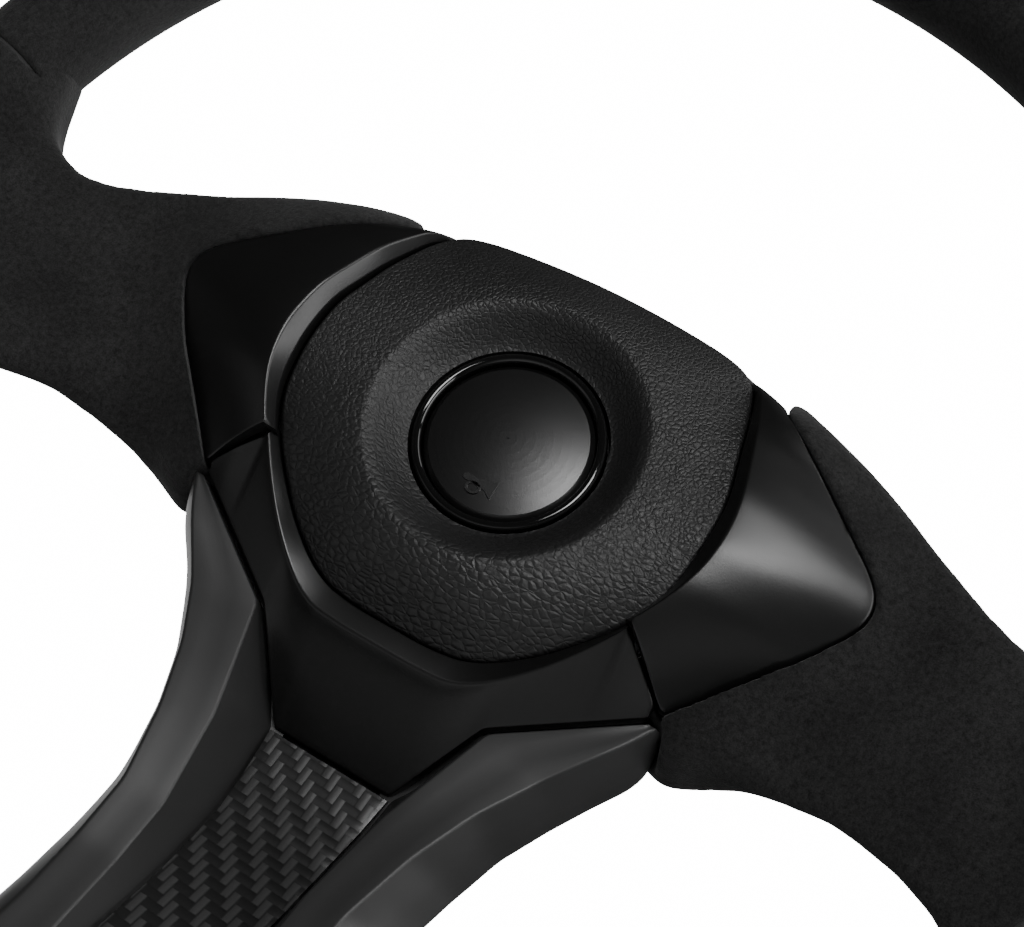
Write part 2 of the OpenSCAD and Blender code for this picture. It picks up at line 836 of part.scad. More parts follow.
in_row_frame() {
  column_boss();
  column_insulator();
  column_contact_inner();
  column_contact_outer();
  armature();
  rim_core();
  rim_foam();
  wrap_arc(-24, 8);  // rim_wrap_right
  wrap_arc(8, 60);  // rim_wrap_top_right
  wrap_arc(60, 120);  // rim_wrap_top
  wrap_arc(120, 172);  // rim_wrap_top_left
  wrap_arc(172, 204);  // rim_wrap_left
  wrap_arc(204, 253);  // rim_wrap_low_left
  wrap_arc(253, 287);  // rim_wrap_bottom
  wrap_arc(287, 336);  // rim_wrap_low_right
  spoke_cover_left();
  spoke_cover_right();
  bezel_left();
  bezel_right();
  lower_cover();
  leg_left();
  leg_right();
  carbon_insert();
  horn_pad();
  pad_carrier();
  pad_posts();
  pad_screws();
  rear_ring();
  horn_ring();
  horn_cup();
  horn_contact_fixed();
  horn_lead_live();
  horn_lead_earth();
  qr_socket();
  socket_bolts();
  stop_ring();
  contact_carrier();
  contact_pin_live();
  contact_pin_earth();
  collar();
  collar_spring();
  ball(1);  // ball_1
  ball(2);  // ball_2
  ball(3);  // ball_3
  ball(4);  // ball_4
  ball(5);  // ball_5
  ball(6);  // ball_6
  horn_cap();
  horn_contact_moving();
  horn_spring();
}
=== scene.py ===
import math

import bmesh
import bpy
import numpy as np
from mathutils import Matrix, Vector


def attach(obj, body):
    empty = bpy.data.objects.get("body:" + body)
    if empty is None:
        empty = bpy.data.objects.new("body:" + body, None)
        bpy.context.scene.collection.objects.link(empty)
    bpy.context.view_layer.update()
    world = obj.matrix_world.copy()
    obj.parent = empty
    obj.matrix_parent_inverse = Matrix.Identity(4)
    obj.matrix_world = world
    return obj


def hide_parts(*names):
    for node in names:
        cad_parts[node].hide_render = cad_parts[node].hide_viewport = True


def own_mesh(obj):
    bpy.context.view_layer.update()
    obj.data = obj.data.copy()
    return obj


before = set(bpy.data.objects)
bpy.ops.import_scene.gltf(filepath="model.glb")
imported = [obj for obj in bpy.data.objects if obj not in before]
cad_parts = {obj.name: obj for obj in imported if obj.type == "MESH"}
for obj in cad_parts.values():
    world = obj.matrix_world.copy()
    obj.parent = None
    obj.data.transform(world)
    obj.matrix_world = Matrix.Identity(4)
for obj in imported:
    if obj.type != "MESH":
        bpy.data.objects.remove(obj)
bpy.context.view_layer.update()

# Shapes are drawn in millimetres in the wheel's own frame: x right, y to 12 o'clock,
# z from the column face to the driver. The row frame is (x, -z, y) in metres.
# The trim is drawn with a pad DRAWN_WIDTH across, and sized() brings it to PAD_WIDTH.
PAD_WIDTH, DRAWN_WIDTH = 105.4, 115.2
TRIM = PAD_WIDTH / DRAWN_WIDTH
PAD_HEIGHT, PAD_BASE = 84.0, 64.0
HOLE_R, RECESS_R = 25.6, 34.6
SEAM = 0.5
RIM_R, RIM_Z, GRIP_X, GRIP_Z = 162.0, 89.0, 13.0, 15.0

# ---------------------------------------------------------------- shape helpers


def soft(keys, width):
    """Linear look-up through keys with its corners rounded over +-width."""
    keys = sorted(keys)
    xs = np.array([k[0] for k in keys], float)
    zs = np.array([k[1] for k in keys], float)
    low = (zs[1] - zs[0]) / (xs[1] - xs[0])
    high = (zs[-1] - zs[-2]) / (xs[-1] - xs[-2])
    reach = 100
    xs = np.concatenate([[xs[0] - reach], xs, [xs[-1] + reach]])
    zs = np.concatenate([[zs[0] - reach * low], zs, [zs[-1] + reach * high]])
    steps = np.linspace(-1, 1, 9)
    weights = 1 - steps**2 + 0.05
    weights /= weights.sum()

    def look(x):
        x = np.asarray(x, float)
        return sum(w * np.interp(x + s * width, xs, zs) for w, s in zip(weights, steps))

    return look


def chaikin(points, times):
    """Smooths a closed line: each round cuts every side at its quarters."""
    p = np.array(points, float)
    for _ in range(times):
        q = np.roll(p, -1, axis=0)
        p = np.stack([p * 0.75 + q * 0.25, p * 0.25 + q * 0.75], 1).reshape(-1, p.shape[1])
    return p


def mirrored(half):
    """A closed outline from its right half, which starts and ends on x = 0."""
    return half + [[-x, y] for x, y in half[-2:0:-1]]


def fillet(points, radii, n=5):
    """Rounds each inner corner of an open 3-D line; radii has one value for each corner."""
    p = [np.array(q, float) for q in points]
    out = [p[0]]
    for i in range(1, len(p) - 1):
        r = radii[i - 1]
        a, b = p[i - 1] - p[i], p[i + 1] - p[i]
        la, lb = np.linalg.norm(a), np.linalg.norm(b)
        start = p[i] + a / max(la, 1e-6) * min(r, la * 0.45)
        end = p[i] + b / max(lb, 1e-6) * min(r, lb * 0.45)
        for t in np.linspace(0, 1, n):
            out.append((1 - t) ** 2 * start + 2 * t * (1 - t) * p[i] + t * t * end)
    out.append(p[-1])
    return out


def loft(rings, loop=False):
    """Points and faces of a skin over rings, closed at its ends or, with loop, on itself."""
    r = np.array(rings, float)
    m, n = r.shape[:2]
    pts = r.reshape(-1, 3)
    faces = []
    for i in range(m if loop else m - 1):
        k = (i + 1) % m
        for j in range(n):
            faces.append((i * n + j, i * n + (j + 1) % n, k * n + (j + 1) % n, k * n + j))
    if not loop:
        faces.append(tuple(range(n)))
        faces.append(tuple((m - 1) * n + j for j in range(n)))
    return pts, faces


def blunt(rings, size):
    """Adds a small chamfer at both ends of a loft, so that its end edges catch light."""

    def shrink(ring, nxt):
        ring, nxt = np.array(ring), np.array(nxt)
        centre = ring.mean(0)
        inward = centre - ring
        length = np.linalg.norm(inward, axis=1, keepdims=True)
        along = (nxt - ring).mean(0)
        along /= np.linalg.norm(along)
        return ring + inward / np.maximum(length, 1e-6) * size, ring + along * size

    a0, a1 = shrink(rings[0], rings[1])
    b0, b1 = shrink(rings[-1], rings[-2])
    return [a0, a1] + list(rings[1:-1]) + [b1, b0]


def to_row(p):
    p = np.asarray(p, float)
    return np.stack([p[:, 0], -p[:, 2], p[:, 1]], 1) * 0.001


def make(name, pts, faces, material, smooth=True, angle=35):
    """A mesh object from millimetre points, with its normals turned outwards."""
    mesh = bpy.data.meshes.new(name)
    mesh.from_pydata([tuple(v) for v in to_row(pts)], [], faces)
    bm = bmesh.new()
    bm.from_mesh(mesh)
    bmesh.ops.remove_doubles(bm, verts=bm.verts, dist=1e-6)
    bmesh.ops.recalc_face_normals(bm, faces=bm.faces)
    bm.to_mesh(mesh)
    bm.free()
    obj = bpy.data.objects.new(name, mesh)
    bpy.context.scene.collection.objects.link(obj)
    finish_mesh(obj, material, smooth, angle)
    return obj


def finish_mesh(obj, material, smooth=True, angle=35):
    obj.data.materials.clear()
    obj.data.materials.append(material)
    if smooth:
        obj.data.shade_smooth()
        if angle:
            obj.data.set_sharp_from_angle(angle=math.radians(angle))


def apply_modifiers(obj):
    depsgraph = bpy.context.evaluated_depsgraph_get()
    mesh = bpy.data.meshes.new_from_object(obj.evaluated_get(depsgraph))
    obj.modifiers.clear()
    obj.data = mesh


def sized(pts):
    """Brings drawn trim to its real size about the top of the pad."""
    p = np.array(pts, float)
    z = PAD_HEIGHT + (p[:, 2] - PAD_HEIGHT) * TRIM
    return np.stack([p[:, 0] * TRIM, p[:, 1] * TRIM, z], 1)


def mirror_points(pts):
    return pts * np.array([-1.0, 1.0, 1.0])


# ---------------------------------------------------------------- materials


class Nodes:
    """A material's node tree, with short calls for the nodes that the looks use."""

    def __init__(self, name):
        self.m = bpy.data.materials.new(name)
        self.m.use_nodes = True
        self.t = self.m.node_tree
        self.bsdf = self.t.nodes["Principled BSDF"]
        self.coords = self.t.nodes.new("ShaderNodeTexCoord").outputs["Object"]

    def node(self, kind, inputs=None, **props):
        n = self.t.nodes.new(kind)
        for k, v in props.items():
            setattr(n, k, v)
        for k, v in (inputs or {}).items():
            self.put(n, k, v)
        return n

    def put(self, n, key, value):
        if isinstance(value, bpy.types.NodeSocket):
            self.t.links.new(value, n.inputs[key])
        else:
            n.inputs[key].default_value = value

    def maths(self, op, *values):
        n = self.t.nodes.new("ShaderNodeMath")
        n.operation = op
        for i, v in enumerate(values):
            self.put(n, i, v)
        return n.outputs[0]

    def vector(self, op, *values):
        n = self.t.nodes.new("ShaderNodeVectorMath")
        n.operation = op
        for i, v in enumerate(values):
            self.put(n, i, v)
        return n.outputs[0]

    def noise(self, scale, detail=3.0, rough=0.5):
        n = self.node(
            "ShaderNodeTexNoise",
            {
                "Vector": self.coords,
                "Scale": scale,
                "Detail": detail,
                "Roughness": rough,
            },
        )
        return n.outputs["Fac"]

    def voronoi(self, scale, feature="F1", vector=None, randomness=1.0):
        n = self.node(
            "ShaderNodeTexVoronoi",
            {"Vector": vector or self.coords, "Scale": scale, "Randomness": randomness},
            feature=feature,
        )
        return n.outputs["Distance"]

    def span(self, value, a, b, c, d):
        n = self.node(
            "ShaderNodeMapRange",
            {"Value": value, "From Min": a, "From Max": b, "To Min": c, "To Max": d},
        )
        return n.outputs[0]

    def dome(self, value, width):
        """Rounds the distance from a cell's edge into a pebble."""
        share = self.span(value, 0.0, width, 0.0, 1.0)
        return self.maths("SINE", self.maths("MULTIPLY", share, math.pi / 2))

    def blend(self, fac, a, b):
        """Mixes two values, where mix does two colours."""
        return self.node("ShaderNodeMix", {0: fac, 2: a, 3: b}, data_type="FLOAT").outputs[0]

    def mix(self, fac, a, b):
        n = self.node("ShaderNodeMix", data_type="RGBA")
        self.put(n, 0, fac)
        self.put(n, 6, a)
        self.put(n, 7, b)
        return n.outputs[2]

    def bump(self, height, distance, strength=1.0, normal=None):
        inputs = {"Height": height, "Distance": distance, "Strength": strength}
        if normal is not None:
            inputs["Normal"] = normal
        return self.node("ShaderNodeBump", inputs).outputs[0]

    def set(self, **values):
        for k, v in values.items():
            self.put(self.bsdf, k.replace("_", " "), v)
        return self.m


def grey(v, tint=(1.0, 1.0, 1.0)):
    return (v * tint[0], v * tint[1], v * tint[2], 1.0)


def suede_material():
    n = Nodes("suede")
    nap = n.noise(900, 4, 0.65)
    fine = n.noise(3200, 2, 0.6)
    rubbed = n.noise(45, 3, 0.55)
    nap_tone_and_tow_sheen = n.maths("ADD", n.maths("MULTIPLY", nap, 0.55), n.maths("MULTIPLY", fine, 0.45))
    speck = n.span(nap_tone_and_tow_sheen, 0.35, 0.68, 0.0, 1.0)
    dark = n.mix(speck, grey(0.005), grey(0.022))
    light = n.mix(speck, grey(0.008), grey(0.034))
    colour = n.mix(n.span(rubbed, 0.35, 0.7, 0.0, 1.0), dark, light)
    normal = n.bump(nap_tone_and_tow_sheen, 0.00035, 0.9)
    return n.set(
        Base_Color=colour,
        Roughness=0.95,
        Specular_IOR_Level=0.12,
        Sheen_Weight=0.3,
        Sheen_Roughness=0.45,
        Sheen_Tint=grey(0.5),
        Normal=normal,
    )


def leather_material():
    """Pebbles that are small at the top of the pad and run into larger ones at its foot."""
    n = Nodes("grained leather")
    split = n.node("ShaderNodeSeparateXYZ", {"Vector": n.coords})
    low = n.span(split.outputs["Z"], 0.035, -0.045, 0.0, 1.0)
    warp_noise = n.noise(260.0, 2.0, 0.5).node.outputs["Color"]
    warp = n.vector("SCALE", n.vector("SUBTRACT", warp_noise, (0.5, 0.5, 0.5)))
    warp.node.inputs["Scale"].default_value = 0.0016
    at = n.vector("ADD", n.coords, warp)
    small = n.voronoi(820.0, "DISTANCE_TO_EDGE", at, 0.9)
    long_at = n.vector("MULTIPLY", at, (0.75, 1.0, 1.2))
    large = n.voronoi(560.0, "DISTANCE_TO_EDGE", long_at, 1.0)
    small = n.maths("MULTIPLY", n.dome(small, 0.34), 0.6)
    large = n.maths("MULTIPLY", n.dome(large, 0.42), 0.8)
    grain = n.blend(low, small, large)
    pores = n.noise(2600, 2, 0.6)
    uneven = n.noise(70, 3, 0.5)
    normal = n.bump(pores, 0.00004, 0.6)
    normal = n.bump(grain, 0.00022, 1.0, normal)
    colour = n.mix(grain, grey(0.006), grey(0.014))
    polish = n.span(grain, 0.0, 1.0, 0.58, 0.41)
    rough = n.maths("ADD", polish, n.span(uneven, 0.3, 0.7, -0.03, 0.03))
    return n.set(Base_Color=colour, Roughness=rough, Specular_IOR_Level=0.5, Normal=normal)


def satin_material(name, value, rough, spec=0.5, metal=0.0, speckle=0.00002):
    n = Nodes(name)
    texture = n.noise(2400, 3, 0.6)
    cloud = n.noise(28, 3, 0.5)
    colour = n.mix(n.span(cloud, 0.3, 0.7, 0.0, 1.0), grey(value * 0.9), grey(value * 1.1))
    broad = n.span(cloud, 0.3, 0.7, rough - 0.02, rough + 0.02)
    roughness = n.maths("ADD", broad, n.span(texture, 0.3, 0.7, -0.02, 0.02))
    return n.set(
        Base_Color=colour,
        Roughness=roughness,
        Specular_IOR_Level=spec,
        Metallic=metal,
        Normal=n.bump(texture, speckle, 0.7),
    )


def carbon_material():
    """2 by 2 twill: each tow passes over two and under two, one step along from row to row."""
    n = Nodes("carbon twill")
    split = n.node("ShaderNodeSeparateXYZ", {"Vector": n.coords})
    pitch = 0.0021
    u = n.maths("DIVIDE", split.outputs["X"], pitch)
    v = n.maths("DIVIDE", split.outputs["Z"], pitch)
    iu, iv = n.maths("FLOOR", u), n.maths("FLOOR", v)
    step = n.maths("FLOORED_MODULO", n.maths("ADD", iu, iv), 4.0)
    warp = n.maths("LESS_THAN", step, 1.5)
    fu, fv = n.maths("FRACT", u), n.maths("FRACT", v)
    along_v = n.maths("SINE", n.maths("MULTIPLY", fu, math.pi))
    along_u = n.maths("SINE", n.maths("MULTIPLY", fv, math.pi))
    crown = n.blend(warp, along_u, along_v)
    strands_u = n.maths("SINE", n.maths("MULTIPLY", u, 44.0))
    strands_v = n.maths("SINE", n.maths("MULTIPLY", v, 44.0))
    strands = n.blend(warp, strands_v, strands_u)
    # Painted highlight: the warp tows are painted brighter than the weft tows, standing in for the
    # sheen that light gives along their fibres, and each tow's colour falls to near black towards
    # its edges, so the painted highlight sits along its crown.
    nap_tone_and_tow_sheen = n.mix(warp, grey(0.008), grey(0.032))
    colour = n.mix(n.span(crown, 0.0, 0.6, 0.0, 1.0), grey(0.006), nap_tone_and_tow_sheen)
    height = n.maths("ADD", crown, n.maths("MULTIPLY", strands, 0.05))
    return n.set(
        Base_Color=colour,
        Roughness=0.42,
        Specular_IOR_Level=0.4,
        Coat_Weight=0.2,
        Coat_Roughness=0.12,
        Normal=n.bump(height, 0.00014, 0.7),
    )


def metal_material(name, value, rough, tint=(1.0, 1.0, 1.0), rings=0.0):
    """Bare metal; rings is the fineness of the turning marks round the wheel's axis."""
    n = Nodes(name)
    grain = n.noise(900, 4, 0.6)
    stain = n.noise(60, 3, 0.5)
    colour = n.mix(stain, grey(value * 0.85, tint), grey(value, tint))
    roughness = n.span(stain, 0.3, 0.7, rough - 0.05, rough + 0.06)
    height = grain
    if rings:
        split = n.node("ShaderNodeSeparateXYZ", {"Vector": n.coords})
        x, y, z = split.outputs
        squares = n.maths("ADD", n.maths("MULTIPLY", x, x), n.maths("MULTIPLY", z, z))
        spread = n.maths("ADD", n.maths("SQRT", squares), y)
        turned = n.maths("SINE", n.maths("MULTIPLY", spread, rings))
        height = n.maths("ADD", grain, n.maths("MULTIPLY", turned, 0.5))
    return n.set(
        Base_Color=colour,
        Roughness=roughness,
        Metallic=1.0,
        Normal=n.bump(height, 0.00002, 0.8),
    )


def foam_material():
    n = Nodes("moulded foam")
    return n.set(
        Base_Color=n.mix(n.noise(120), grey(0.015), grey(0.03)),
        Roughness=0.85,
        Normal=n.bump(n.voronoi(1500.0), 0.0001, 0.5),
    )


SUEDE = suede_material()
LEATHER = leather_material()
SATIN = satin_material("satin black", 0.004, 0.33, 0.5)
CAP = satin_material("cap satin", 0.004, 0.31, 0.75)
ANTHRACITE = satin_material("anthracite", 0.028, 0.47, 0.5, 0.25)
GLOSS = satin_material("gloss black", 0.004, 0.07, 0.6, 0.0, 0.000002)
INNER = satin_material("inner plastic", 0.02, 0.5)
CARBON = carbon_material()
ALUMINIUM = metal_material("machined aluminium", 0.72, 0.32, rings=9000.0)
ANODISED = satin_material("anodised", 0.025, 0.34, 0.5, 0.8)
STEEL = metal_material("steel", 0.58, 0.24)
BRASS = metal_material("brass", 0.75, 0.25, (1.0, 0.78, 0.42))
FOAM = foam_material()
LEAD = satin_material("lead insulation", 0.2, 0.45)

# ---------------------------------------------------------------- outlines and surfaces

PAD_HALF = [
    [0, -55], [12, -55], [22.5, -53.2], [34.5, -45.3], [43.5, -36.5], [50.7, -28.2], [56.2, -18],
    [57.6, -4], [57.2, 8], [54, 19], [50.6, 31], [46.6, 43], [40, 48.4], [20, 51], [0, 51.9],
]
CREST_HALF = [
    [0, -61.4], [12, -61.4], [23, -60.4], [36.2, -49.6], [45, -39.5], [52.4, -29.4], [59.2, -17.5],
    [62, -5], [60.8, 8], [57, 20], [52.6, 33], [47.6, 44], [41, 50], [20, 52.6], [0, 53.5],
]
# Heights along y of the pad's outer seam, of the crest round it and of the bezel's outer
# edge, with that edge's own line.
seam_z = soft([
    (-56, 70.5), (-45, 73), (-28.5, 77.5), (-18, 80.5), (-4, 83.6), (10, 84), (25, 82),
    (38, 77.5), (43, 75), (52, 73),
], 4)
crest_z = soft([
    (-62, 72.2), (-57, 73.2), (-45, 76.6), (-29, 82), (-17, 86), (-5, 88), (10, 88.5),
    (28, 86), (44, 78.5), (52, 74),
], 4)
bezel_out_x = soft([
    (-41.2, 67.2), (-29.5, 77.8), (-16.8, 89.2), (-8, 95.4), (-3, 98.2), (1, 98.8), (5, 97.6),
    (9, 93.8), (16.7, 83.6), (25.8, 72), (34.7, 61.2), (38.5, 57.6), (42, 56), (46, 55.6),
    (51, 55.8),
], 2.2)
bezel_out_z = soft([
    (-41.2, 69.5), (-29.5, 72.5), (-17, 77.4), (0, 81.8), (9, 83.4), (17, 85), (26, 85.5),
    (33, 84), (38, 80.5), (42, 76.5), (46, 70), (50, 63),
], 2.5)


def side_line(half, low, high, width=1.5):
    """x of an outline against y, for the part of the right side between y low and y high."""
    line = chaikin(mirrored(half), 3)
    return soft([(y, x) for x, y in line if x > 0 and low <= y <= high], width)


def low_line(half, width=1.5):
    """y of an outline against x, along its bottom."""
    return soft([(x, y) for x, y in chaikin(mirrored(half), 3) if y < -28], width)


pad_x = side_line(PAD_HALF, -46, 43)
crest_x = side_line(CREST_HALF, -50, 45)
pad_y = low_line(PAD_HALF)
crest_y = low_line(CREST_HALF)

# ---------------------------------------------------------------- horn pad


def build_pad():
    """The crowned leather pad, with a rolled edge and a dished recess round the horn cap."""
    line = chaikin(mirrored(PAD_HALF), 4)
    radius = np.linalg.norm(line, axis=1)
    direction = line / radius[:, None]
    drop = PAD_HEIGHT - seam_z(line[:, 1])
    recess = soft([
        (24.5, -8.9), (26.4, -8.5), (28.2, -7.0), (31.0, -3.9), (33.4, -1.3), (35.6, -0.1), (38, 0),
    ], 0.9)
    crown = 1.7
    base = np.full(len(line), PAD_BASE)
    rings = [np.column_stack([line, base])]
    edge = 1.2
    for a in np.linspace(0, math.pi / 2, 6):
        k = 1 - (edge * (1 - math.cos(a))) / radius
        t = (radius * k - RECESS_R) / (radius - RECESS_R)
        z = PAD_HEIGHT - drop * t**crown - edge * (1 - math.sin(a))
        rings.append(np.column_stack([line * k[:, None], z]))
    for t in np.linspace(0.96, 0.06, 34):
        r = RECESS_R + (radius - RECESS_R) * t
        z = PAD_HEIGHT - drop * t**crown
        rings.append(np.column_stack([direction * r[:, None], z]))
    for r in np.linspace(35.2, HOLE_R, 26):
        z = np.full(len(line), PAD_HEIGHT + float(recess(r)))
        rings.append(np.column_stack([direction * r, z]))
    rings.append(np.column_stack([direction * HOLE_R, base]))
    pts, faces = loft(rings, loop=True)
    pad = make("horn_pad_skin", sized(pts), faces, LEATHER, angle=60)
    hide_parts("horn_pad")
    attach(pad, "wheel")


# ---------------------------------------------------------------- bezels, lower cover, legs, carbon


# Where a band crosses a bezel's or the lower cover's face, as shares of its width.
ACROSS = (0.12, 0.25, 0.38, 0.5, 0.62, 0.75, 0.88)
# Below END_Y the bezel ends along a slant, and the lower cover's arm starts beside it.
END_X, END_Y, END_SLANT = 51.5, -29, 1.25
ARM_X, ARM_Y, ARM_SLANT = 51.6, -29.8, 0.82
# How far the bezel's top end rolls down over the pad's corner.
top_roll = soft([(34, 0), (40, 0.4), (43, 2), (46, 5.5), (50, 12.5)], 1.5)


def bezel_rings():
    """The right bezel's bands, each from its seam with the pad to its outer edge."""
    rings = []
    low_end, side, top_end = (-40.6, -27, 16), (-26, 36, 54), (36.6, 49.5, 24)
    for y in np.concatenate([np.linspace(*part) for part in (low_end, side, top_end)]):
        out, z2 = float(bezel_out_x(y)), float(bezel_out_z(y))
        roll = float(top_roll(y))
        ridge, top = float(crest_x(y)), float(crest_z(y)) - roll

        def face_z(x):
            u = min(max((x - ridge) / (out - ridge), 0.0), 1.0)
            return top + (z2 - top) * u**1.25 + 0.5 * math.sin(math.pi * u)

        if y < END_Y:
            a = END_X + (END_Y - y) * END_SLANT
            crest = a + 0.6
            z1 = face_z(crest)
            z0 = z1 + 0.1
        else:
            crest, z1 = ridge, top
            a = min(float(pad_x(y)) + SEAM, crest - 1.4)
            z0 = float(seam_z(y)) + 0.4 - roll
        out = max(out, crest + 0.6)
        across = [crest + (out - crest) * s for s in ACROSS]
        face = [[x, y, face_z(x)] for x in across]
        line = [[a, y, z0 - 4], [a, y, z0], [crest, y, z1], *face, [out, y, z2], [out, y, z2 - 4]]
        ring = fillet(line, [0.35, 0.7] + [2.0] * len(ACROSS) + [0.9], 5)
        ring.append([(crest + out) / 2, y, (z1 + z2) / 2 - 4])
        skew = 0.3 * min(max((y - 36) / 13.5, 0.0), 1.0)
        rings.append([[x, y - skew * max(x - crest, 0.0), z] for x, y, z in ring])
    return blunt(rings, 0.3)


def lower_rings():
    """The lower cover's bands, from its left arm along the pad's foot to its right arm."""
    leg_line = soft([(0, -87.4), (17.4, -87.4), (32, -65), (66, -42.6)], 0.6)
    face_z = soft([(0, 51), (17.4, 51), (32, 67.6), (50, 68.4), (66, 69)], 1.2)
    arm_z = soft([(51.6, 80.8), (59, 76.3), (66, 70.2)], 1)
    half = np.linspace(0, 64.5, 66)
    rings = []
    for x in np.concatenate([-half[:0:-1], half]):
        a = abs(x)
        if a > ARM_X:
            y0 = ARM_Y - (a - ARM_X) * ARM_SLANT
            crest = y0 - 0.6
            z0 = float(arm_z(a))
            z1 = z0 - 0.1
        else:
            y0 = float(pad_y(a)) - SEAM
            crest = min(y0 - 0.3, float(crest_y(a)))
            z0, z1 = float(seam_z(y0)) + 0.4, float(crest_z(crest))
        out = min(crest - 0.6, float(leg_line(a)))
        z2 = float(face_z(a))
        face = [[x, crest + (out - crest) * u, z1 + (z2 - z1) * u**0.9] for u in ACROSS]
        line = [[x, y0, min(z0 - 3, 66)], [x, y0, z0], [x, crest, z1], *face]
        line += [[x, out, z2], [x, out, z2 - 3.6]]
        ring = fillet(line, [0.35, 0.8] + [2.5] * len(ACROSS) + [0.5], 5)
        ring.append([x, (crest + out) / 2, min(z0 - 3, (z1 + z2) / 2 - 4)])
        rings.append(ring)
    return blunt(rings, 0.3)


def leg_rings():
    """The right leg's bands down to the rim: a lip over the carbon, a top, and a foot."""

    def key(*pairs, width=3.0):
        return soft([(-y, v) for y, v in pairs], width)

    foot_in = key(
        (44.5, 65.4), (65.6, 33.4), (88, 18.4), (112, 16), (135, 15.2), (167, 15.2), width=1.0,
    )
    top_in = key((44.5, 65.5), (65.6, 33.5), (95, 24.2), (119, 20), (167, 18.5), width=1.0)
    top_out = key(
        (44.5, 67.6), (50, 64.6), (56, 60.6), (70, 50.5), (84, 42.4), (100, 36), (119, 31),
        (150, 30), (167, 31),
    )
    foot_out = key(
        (44.5, 68.6), (52, 69.2), (57, 67), (65, 60.8), (75, 54.7), (87, 48.2), (100, 44),
        (110, 41.7), (119, 40), (135, 38.5), (150, 38), (167, 39),
    )
    z_in = key(
        (44.5, 69.2), (65.6, 67.8), (95, 72), (119, 76.5), (135, 82), (150, 89.5), (167, 97),
    )
    z_out = key(
        (44.5, 69), (56, 70), (70, 69), (84, 71.5), (100, 75), (119, 79), (135, 83.5), (150, 90),
        (167, 97),
    )
    z_foot = key(
        (44.5, 60), (52, 54), (65, 48.5), (88, 47.6), (98, 48), (112, 52), (126, 60), (140, 70),
        (152, 78), (167, 85),
    )
    z_tuck = key((44.5, 61.5), (52, 61.5), (65.6, 60.3), (72, 54), (80, 48), (88, 40), width=1.0)
    rings = []
    for y in np.linspace(-44.6, -166.5, 100):
        fi, ti, to, fo = (float(f(y)) for f in (foot_in, top_in, top_out, foot_out))
        zi, zo, zf = (float(f(y)) for f in (z_in, z_out, z_foot))
        zl = max(zf + 0.3, float(z_tuck(y)))
        ledge = fi - float(np.interp(-y, [80, 95], [5, 3]))
        lip = [
            [fi, y, zf], [fi - 0.3, y, zl], [ledge, y, zl], [ledge, y, zl + 1.2],
            [fi - 0.2, y, zl + 1.7],
        ]
        line = [
            lip[-1], [ti, y, zi],
            [ti + (to - ti) * 0.5, y, zi + (zo - zi) * 0.5 - 0.3],
            [to, y, zo], [(to + fo) / 2 + 1, y, (zo + zf) / 2 + 2],
            [fo, y, zf + 1.5], [fo, y, zf],
        ]
        rings.append(lip[:-1] + fillet(line, [0.7, 3, 0.9, 5, 1], 5))
    return blunt(rings, 0.4)


def carbon_rings():
    """The carbon plate's bands; its top end is tucked flat under the lower cover."""
    width = soft([(-88, 17.8), (-112, 15.2), (-135, 14.4), (-166, 14.4)], 2)
    height = soft([
        (-88, 51), (-100, 53), (-112, 57), (-126, 65), (-140, 75), (-152, 84), (-166, 91),
    ], 4)
    thick, tucked_y, tucked_z = 1.6, -88, 46.4
    rings = []
    for y in [-82.0, -87.6, *np.linspace(-88.7, -166, 60)]:
        w, z = float(width(y)), float(height(y)) if y < tucked_y else tucked_z
        middle = [[w * s, y, z] for s in np.linspace(-0.8, 0.8, 5)]
        line = [[-w, y, z - thick], [-w, y, z], *middle, [w, y, z], [w, y, z - thick]]
        rings.append(fillet(line, [0.3] + [0.5] * 5 + [0.3], 3))
    return rings


def build_trim():
    pts, faces = loft(bezel_rings())
    pts = sized(pts)
    for side, p in (("right", pts), ("left", mirror_points(pts))):
        bezel = make(f"bezel_face_{side}", p, faces, SATIN, angle=50)
        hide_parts(f"bezel_{side}")
        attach(bezel, "wheel")
    pts, faces = loft(lower_rings())
    cover = make("lower_cover_face", sized(pts), faces, SATIN, angle=50)
    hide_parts("lower_cover")
    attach(cover, "wheel")
    pts, faces = loft(leg_rings())
    pts = sized(pts)
    for side, p in (("right", pts), ("left", mirror_points(pts))):
        leg = make(f"leg_shell_{side}", p, faces, ANTHRACITE, angle=50)
        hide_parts(f"leg_{side}")
        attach(leg, "wheel")
    pts, faces = loft(carbon_rings())
    plate = make("carbon_plate", sized(pts), faces, CARBON, angle=50)
    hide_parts("carbon_insert")
    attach(plate, "wheel")


# ---------------------------------------------------------------- suede rim and spoke covers

# The right spoke cover along x: the height of its ridge and its back, then the height
# and the line of its top and its lower edge.
ridge_z = soft([
    (54, 84), (66, 88), (76, 88), (86, 86), (98, 83), (110, 82), (125, 84), (140, 88),
    (150, 92), (158, 95.5), (168, 99),
], 7)
back_z = soft([
    (54, 46), (62, 44), (76, 46), (88, 54), (100, 62), (112, 66), (125, 67.5), (140, 70.5),
    (152, 74), (168, 79),
], 4)
top_edge_z = soft([
    (54, 64), (60, 71), (66, 78), (98, 80), (114, 83), (130, 85.5), (150, 88), (168, 89),
], 3)
low_edge_z = soft([
    (54, 48), (76, 49), (82, 51), (88, 58), (94, 67), (100, 70), (112, 75), (130, 82),
    (150, 87), (168, 89),
], 2)
top_y = soft([
    (54, 47.5), (58, 47.6), (62, 44.8), (66, 41.4), (74, 38), (82, 34.8), (90, 31.2), (98, 27.2),
    (106, 22.3), (114, 17.7), (122, 13.2), (130, 9.5), (134, 8.4), (140, 7.6), (146, 9.2),
    (150, 11.2), (153, 14), (156, 19.5), (159, 28), (162, 38), (168, 50),
], 1.5)
